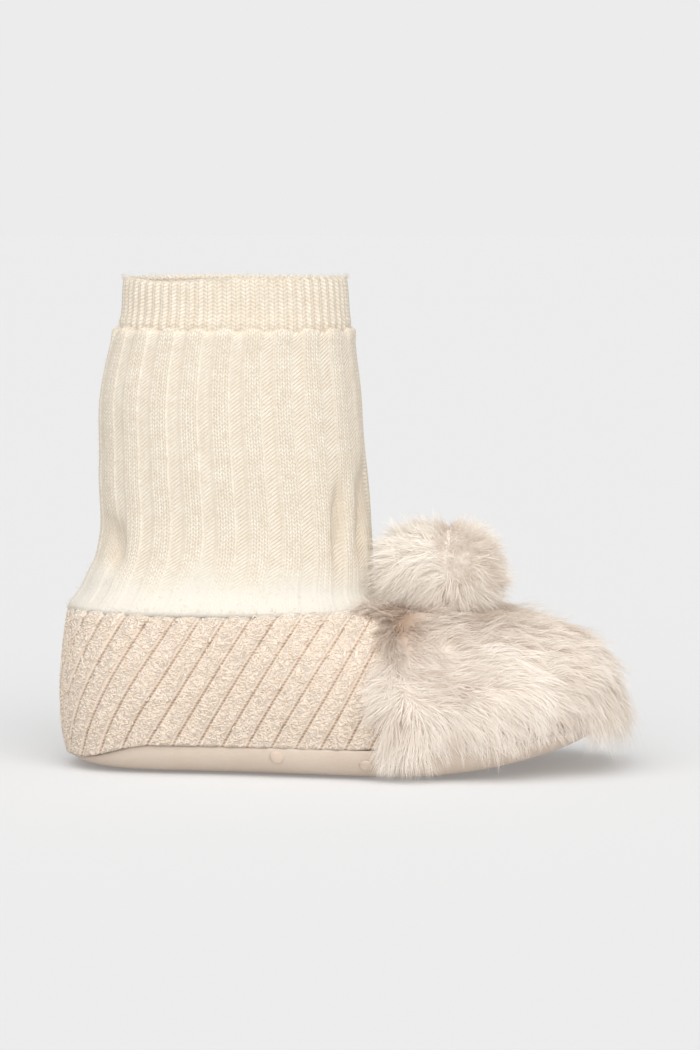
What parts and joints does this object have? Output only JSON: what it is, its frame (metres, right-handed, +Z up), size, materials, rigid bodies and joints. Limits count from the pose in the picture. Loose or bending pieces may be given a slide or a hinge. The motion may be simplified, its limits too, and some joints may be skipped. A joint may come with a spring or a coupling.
{
  "type": "baby bootie",
  "caption": "Soft ankle-high baby bootie with a rib-knit sock shaft, corduroy quarter, fur toe with a pompom and a flat fabric sole.",
  "frame": {"origin": "on the floor under the middle of the bootie: bottom centre of its box", "axes": "+X from heel to toe, +Y across the foot, +Z up from the floor"},
  "size_m": [0.128, 0.0686, 0.107],
  "materials": {
    "sole_fabric": "soft smooth jersey with small anti-slip dots",
    "insole_fabric": "brushed cotton",
    "lining": "brushed cotton",
    "corduroy": "broad wales with a curly pile",
    "fur": "long soft pile",
    "rib_knit": "rib knit, matt"
  },
  "bodies": {
    "root": {"outsole": "sole_fabric", "insole": "insole_fabric", "upper": "lining", "corduroy_quarter": "corduroy", "vamp_fur": "fur", "sock_shaft": "rib_knit", "pompom": "fur"}
  },
  "joints": []
}
